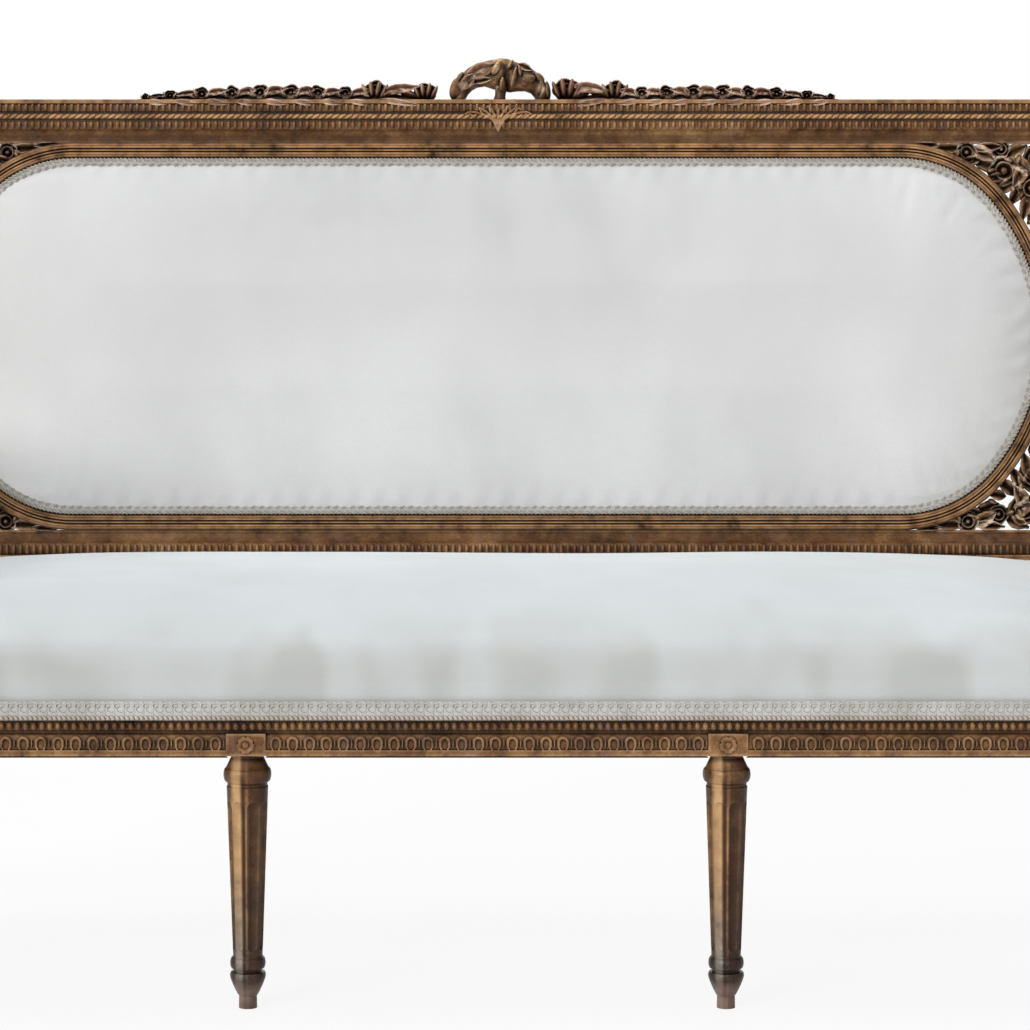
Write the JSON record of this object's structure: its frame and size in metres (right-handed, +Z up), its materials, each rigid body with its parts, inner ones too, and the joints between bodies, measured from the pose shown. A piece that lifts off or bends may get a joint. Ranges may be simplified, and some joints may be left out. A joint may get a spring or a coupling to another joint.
{
  "type": "cabriole sofa",
  "caption": "Carved and gilded wooden sofa with an oblong oval padded back, pierced floral spandrels and crest, a tight domed seat, padded open arms and fluted turned legs.",
  "frame": {"origin": "on the floor, under the middle of the sofa's bounding box", "axes": "+X along the sofa to the sitter's left, the front faces -Y, +Z up"},
  "size_m": [1.752, 0.6666, 1.1382],
  "materials": {
    "gilt_wood": "worn bronze-brown gilding with dark patina in the hollows",
    "linen": "off-white plain-woven linen",
    "braid": "cream scroll braid",
    "raw_wood": "bare beech",
    "jute": "jute webbing and hessian",
    "steel": "dull drawn wire",
    "black_cloth": "black cotton lining"
  },
  "bodies": {
    "root": {"front_rail": "gilt_wood", "rear_rail": "raw_wood", "side_rail_left": "gilt_wood", "side_rail_right": "gilt_wood", "front_leg_left": "gilt_wood", "front_leg_right": "gilt_wood", "mid_leg_left": "gilt_wood", "mid_leg_right": "gilt_wood", "rear_post_left": "gilt_wood", "rear_post_right": "gilt_wood", "top_rail": "gilt_wood", "lower_rail": "gilt_wood", "oval_moulding_top": "gilt_wood", "oval_moulding_bottom": "gilt_wood", "oval_moulding_left": "gilt_wood", "oval_moulding_right": "gilt_wood", "spandrel_top_left": "gilt_wood", "spandrel_top_right": "gilt_wood", "spandrel_bottom_left": "gilt_wood", "spandrel_bottom_right": "gilt_wood", "crest_bow": "gilt_wood", "crest_leaf": "gilt_wood", "crest_garland_left": "gilt_wood", "crest_garland_right": "gilt_wood", "arm_left": "gilt_wood", "arm_right": "gilt_wood", "arm_support_left": "gilt_wood", "arm_support_right": "gilt_wood", "arm_pad_left": "linen", "arm_pad_right": "linen", "arm_gimp_left": "braid", "arm_gimp_right": "braid", "seat_struts": "raw_wood", "corner_blocks": "raw_wood", "corner_screws": "steel", "seat_webbing": "jute", "seat_springs": "steel", "seat_hessian": "jute", "seat_cushion": "linen", "seat_gimp": "braid", "dust_cover": "black_cloth", "back_webbing": "jute", "back_hessian": "jute", "back_pad": "linen", "back_gimp": "braid", "outside_back": "linen", "outside_gimp": "braid"}
  },
  "joints": []
}
